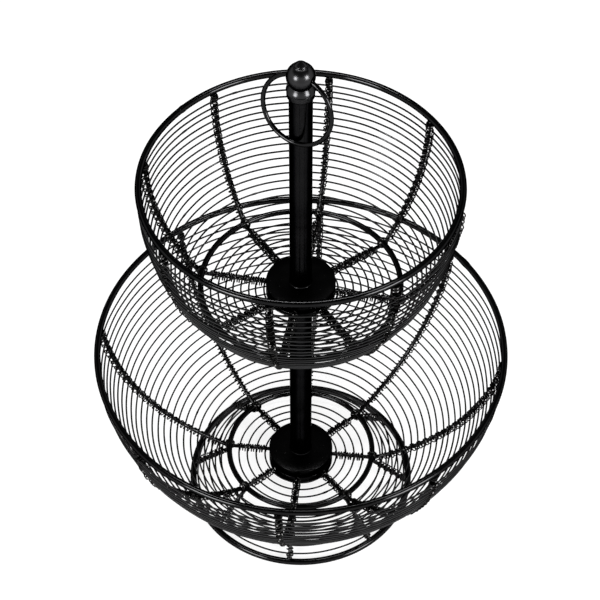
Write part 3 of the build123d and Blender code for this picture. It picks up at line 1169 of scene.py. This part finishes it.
@dataclass
class Finial:
    """The collar, the bored ball with its little cone, and the ring that swings in it."""

    collar_radius: float = 0.00965
    band_radius: float = 0.0093
    band_round: float = 0.0018
    band_bulge: float = 0.00005
    lip: float = 0.0002
    collar_low: float = 0.4070
    collar_high: float = 0.4174
    groove_height: float = 0.4129
    groove_width: float = 0.0011
    groove_depth: float = 0.0008
    bead_reach: float = 0.0023
    bead_fullness: float = 1.35
    bore: float = 0.0054
    ball_radius: float = 0.00965
    ball_height: float = 0.4240
    seat_gap: float = 0.00005
    stem_radius: float = 0.0053
    stem_length: float = 0.0205
    neck_radius: float = 0.0050
    neck_height: float = 0.0088
    waist_radius: float = 0.0036
    waist_height: float = 0.0092
    cone_radius: float = 0.00415
    cone_height: float = 0.0097
    tip_height: float = 0.0132
    ring_radius: float = 0.0252
    ring_wire: float = 0.0032
    ring_turn: float = 30.0
    ring_gap: float = 0.0003
    ring_sway: float = 0.00025
    ring_wave: float = 0.03
    bore_overrun: float = 0.001
    post_radius: float = 0.0079

    def build(self, paints: Paints) -> None:
        """Turn the collar and the finial, bore the ball, and hang the ring.

        Args:
            paints: The basket's finishes.
        """
        self.build_collar(paints)
        self.build_ball(paints)
        self.build_ring(paints)

    def build_collar(self, paints: Paints) -> None:
        """Turn the beaded collar under the ball.

        Args:
            paints: The basket's finishes.
        """
        low, high = self.collar_low, self.collar_high
        groove, half = self.groove_height, self.groove_width / 2
        turn, lip = self.band_round, self.lip
        outline = [(self.bore, low), (self.band_radius - turn, low)]
        for step in range(1, 7):
            angle = math.pi / 12 * step
            outline.append((
                self.band_radius - turn + turn * math.sin(angle), low + turn - turn * math.cos(angle)))
        outline += [
            (self.band_radius + self.band_bulge, (low + groove) / 2 + lip * 2.0),
            (self.band_radius, groove - half - lip),
            (self.band_radius - lip, groove - half),
            (self.collar_radius - self.groove_depth, groove - half * 0.5),
            (self.collar_radius - self.groove_depth, groove + half * 0.5),
            (self.collar_radius - lip, groove + half),
            (self.collar_radius, groove + half + lip),
        ]
        start = groove + half + lip
        for step in range(1, 11):
            share = step / 10
            reach = self.bead_reach * share ** self.bead_fullness
            outline.append((self.collar_radius - reach, start + (high - start) * share))
        seat = self.ball_radius + self.seat_gap
        cup = math.sqrt(seat ** 2 - (self.ball_height - high) ** 2)
        outline.append((cup, high))
        deepest = math.sqrt(seat ** 2 - self.bore ** 2)
        for step in range(1, 6):
            height = high + (self.ball_height - deepest - high) * step / 5
            outline.append((math.sqrt(seat ** 2 - (self.ball_height - height) ** 2), height))
        outline.append((self.bore, low))
        collar = Bench.lathe("collar_bead", outline, 96)
        Bench.hand_over(collar, paints.gloss, "polished_black", ["collar"])

    def build_ball(self, paints: Paints) -> None:
        """Turn the ball and its cone, then bore the ball across with flared mouths.

        Args:
            paints: The basket's finishes.
        """
        ball, middle = self.ball_radius, self.ball_height
        start = -math.acos(self.stem_radius / ball)
        stop = math.acos(self.neck_radius / ball)
        stem_low = middle - self.stem_length
        outline = [(0.0, stem_low), (self.stem_radius, stem_low)]
        steps = 28
        for step in range(steps + 1):
            angle = start + (stop - start) * step / steps
            outline.append((ball * math.cos(angle), middle + ball * math.sin(angle)))
        lip = self.lip
        cone = [
            (self.neck_radius - lip / 2.0, self.neck_height),
            (self.neck_radius - lip * 2.0, self.neck_height + lip),
            (self.waist_radius + lip, self.neck_height + lip * 1.25),
            (self.waist_radius, self.waist_height),
            (self.waist_radius + lip, self.cone_height - lip),
            (self.cone_radius - lip / 2.0, self.cone_height - lip / 2.0),
            (self.cone_radius, self.cone_height),
            (self.cone_radius - lip, self.cone_height + lip * 1.5),
        ]
        height = self.tip_height - self.cone_height
        cone += [
            (self.cone_radius * share, self.cone_height + height * (1.0 - share) ** 0.86)
            for share in (0.82, 0.66, 0.5, 0.36, 0.24, 0.14, 0.06)
        ]
        outline += [(radius, middle + rise) for radius, rise in cone]
        outline.append((0.0, middle + self.tip_height))
        finial = Bench.lathe("finial_ball", outline, 96)
        cutter = Bench.lathe("bore_cutter", self.bore_outline(), 48)
        cutter.rotation_euler = (0.0, math.pi / 2, -math.radians(self.ring_turn))
        cutter.location = (0.0, 0.0, middle)
        Bench.pick(cutter)
        bpy.ops.object.transform_apply(location=True, rotation=True, scale=True)
        Bench.modify(finial, "BOOLEAN", operation="DIFFERENCE", solver="EXACT", object=cutter)
        bpy.data.objects.remove(cutter)
        Bench.hand_over(finial, paints.gloss, "polished_black", ["finial"])

    def bore_outline(self) -> list[tuple[float, float]]:
        """The outline of the tool that cuts the bore, flared to both mouths."""
        half = self.ball_radius + self.bore_overrun
        sweep = self.ring_radius - self.ring_wire / 2 - self.ring_gap
        steps = 12
        outline = [(0.0, -half)]
        for step in range(steps + 1):
            along = -half + 2.0 * half * step / steps
            outline.append((self.ring_radius - math.sqrt(sweep ** 2 - along ** 2), along))
        return outline + [(0.0, half)]

    def build_ring(self, paints: Paints) -> None:
        """Bend the lifting ring and hang it in the ball, leaning on the post.

        Args:
            paints: The basket's finishes.
        """
        turn = math.radians(self.ring_turn)
        across = Vector((math.cos(turn), -math.sin(turn), 0.0))
        front = Vector((-math.sin(turn), -math.cos(turn), 0.0))
        lean = math.asin((self.post_radius + self.ring_wire / 2 + self.ring_gap) / (2.0 * self.ring_radius))
        down = front * math.sin(lean) - Vector((0.0, 0.0, math.cos(lean)))
        middle = Vector((0.0, 0.0, self.ball_height)) + down * self.ring_radius
        normal = across.cross(down)
        Bench.clear()
        bpy.ops.mesh.primitive_torus_add(
            location=middle, rotation=Matrix((across, down, normal)).transposed().to_euler(),
            major_radius=self.ring_radius, minor_radius=self.ring_wire / 2, major_segments=160,
            minor_segments=16,
        )
        ring = bpy.context.object
        ring.name = "lifting_ring"
        bpy.ops.object.transform_apply(location=True, rotation=True, scale=True)
        Bench.bend_by_hand(ring, self.ring_sway, self.ring_wave)
        Bench.hand_over(ring, paints.stout, "polished_black", ["ring_handle"], RING)


@dataclass(frozen=True)
class SoftBox:
    """One lamp: where it hangs, its width and height, and its power in watts."""

    name: str
    place: tuple[float, float, float]
    size: tuple[float, float]
    power: float


SOFT_BOXES = (
    SoftBox("left_box", (-1.15, -1.3, 0.95), (0.66, 0.66), 36.0),
    SoftBox("right_box", (1.3, -1.05, 1.0), (0.66, 0.66), 36.0),
    SoftBox("top_strip", (0.0, 0.5, 2.1), (1.2, 0.16), 24.0),
)


@dataclass
class Studio:
    """Floor, backdrop, lamps and the camera at the photograph's angle."""

    camera_place: tuple[float, float, float] = (0.0, -0.8976, 1.2333)
    camera_target: tuple[float, float, float] = (0.0, 0.0, 0.21975)
    lens: float = 114.05
    shift: tuple[float, float] = (-0.0013, -0.0155)
    sensor: float = 36.0
    sight: float = 50.0
    floor_size: float = 12.0
    floor_drop: float = 0.0002
    floor_light: float = 0.8
    floor_pale: float = 0.24
    floor_glow: float = 0.82
    lamp_aim: float = 0.22
    fill: float = 0.2
    ceiling_start: float = 0.45
    ceiling_fade: float = 0.17
    ceiling_dark: float = 0.92

    def build(self) -> None:
        """Set the floor, the world, the lamps and the camera."""
        self.build_floor()
        self.build_world()
        for box in SOFT_BOXES:
            self.hang(box)
        self.build_camera()
        bpy.context.scene.view_settings.view_transform = "Standard"

    def white_to_eye(self, graph: Graph) -> Link:
        """1 for rays from the camera and for rays off gloss or through glass."""
        path = graph.node("ShaderNodeLightPath", {}, {})
        seen = Link(graph, path.outputs["Is Camera Ray"]) + Link(graph, path.outputs["Is Glossy Ray"])
        return seen + Link(graph, path.outputs["Is Transmission Ray"])

    def build_floor(self) -> None:
        """Lay a pale floor that reads white and still takes a faint shadow."""
        Bench.clear()
        bpy.ops.mesh.primitive_plane_add(size=self.floor_size, location=(0.0, 0.0, -self.floor_drop))
        floor = bpy.context.object
        floor.name = "studio_floor"
        graph = Graph("studio_floor_white")
        matte = graph.node("ShaderNodeBsdfDiffuse", {}, {"Color": (*(self.floor_light,) * 3, 1.0)})
        pale = graph.node("ShaderNodeBsdfDiffuse", {}, {"Color": (*(self.floor_pale,) * 3, 1.0)})
        glow = graph.node(
            "ShaderNodeEmission", {}, {"Color": (1.0, 1.0, 1.0, 1.0), "Strength": self.floor_glow})
        white = graph.node(
            "ShaderNodeAddShader", {}, {0: Link(graph, pale.outputs[0]), 1: Link(graph, glow.outputs[0])})
        shown = graph.node(
            "ShaderNodeMixShader", {},
            {
                0: self.white_to_eye(graph), 1: Link(graph, matte.outputs[0]),
                2: Link(graph, white.outputs[0]),
            },
        )
        floor.data.materials.append(graph.finish(shown))

    def build_world(self) -> None:
        """A white backdrop that ends at a dark ceiling, and a plain soft light on the basket."""
        world = bpy.data.worlds.new("studio_world")
        bpy.context.scene.world = world
        graph = Graph("studio_world", world)
        way = graph.node("ShaderNodeTexCoord", {}, {})
        parts = graph.node("ShaderNodeSeparateXYZ", {}, {0: Link(graph, way.outputs["Generated"])})
        ceiling = Link(graph, parts.outputs["Z"]).above(self.ceiling_start, self.ceiling_fade)
        soft = graph.node(
            "ShaderNodeBackground", {}, {"Color": (0.95, 0.97, 1.0, 1.0), "Strength": self.fill})
        white = graph.node("ShaderNodeBackground", {}, {"Color": 1.0 - ceiling * self.ceiling_dark})
        shown = graph.node(
            "ShaderNodeMixShader", {},
            {
                0: self.white_to_eye(graph), 1: Link(graph, soft.outputs[0]),
                2: Link(graph, white.outputs[0]),
            },
        )
        graph.node("ShaderNodeOutputWorld", {}, {"Surface": Link(graph, shown.outputs[0])})

    def hang(self, box: SoftBox) -> None:
        """Hang a soft box that faces the basket.

        Args:
            box: The soft box.
        """
        Bench.clear()
        bpy.ops.object.light_add(type="AREA", location=box.place)
        lamp = bpy.context.object
        lamp.name = box.name
        lamp.data.shape = "RECTANGLE"
        lamp.data.size, lamp.data.size_y = box.size
        lamp.data.energy = box.power
        way = Vector((0.0, 0.0, self.lamp_aim)) - Vector(box.place)
        lamp.rotation_euler = way.to_track_quat("-Z", "Y").to_euler()

    def build_camera(self) -> None:
        """Stand the camera where the photograph was taken from."""
        Bench.clear()
        bpy.ops.object.camera_add(location=self.camera_place)
        camera = bpy.context.object
        camera.name = "studio_camera"
        way = Vector(self.camera_target) - Vector(self.camera_place)
        camera.rotation_euler = way.to_track_quat("-Z", "Y").to_euler()
        camera.data.lens = self.lens
        camera.data.sensor_width = self.sensor
        camera.data.shift_x, camera.data.shift_y = self.shift
        camera.data.clip_end = self.sight
        bpy.context.scene.camera = camera


def main() -> None:
    """Build the studio, then the basket piece by piece."""
    logging.basicConfig(level=logging.INFO, format="%(name)s: %(message)s")
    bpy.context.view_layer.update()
    wires = Wires()
    binding = Binding(wires)
    upper = Bowl(
        Tier.UPPER, wires, binding, rim_radius=0.1087, rim_height=0.3296, base_radius=0.0710,
        base_height=0.2280, slope=52.0, wall_hoops=18, rim_clear=0.0085, floor_hoops=8,
        floor_clear=0.0067, floor_pitch=0.0054, turn=-100.7, seam=139.0,
    )
    lower = Bowl(
        Tier.LOWER, wires, binding, rim_radius=0.1495, rim_height=0.1597, base_radius=0.0559,
        base_height=0.0327, slope=25.0, wall_hoops=24, rim_clear=0.0105, floor_hoops=4,
        floor_clear=0.0072, floor_pitch=0.0068, turn=-96.0, seam=33.0,
    )
    paints = Paints()
    Studio().build()
    for bowl in (upper, lower):
        bowl.build(paints)
    Foot(wires, binding, lower).build(paints)
    Core(wires, upper, lower).build(paints)
    Finial().build(paints)
    Bench.clear()


if __name__ == "__main__":
    main()
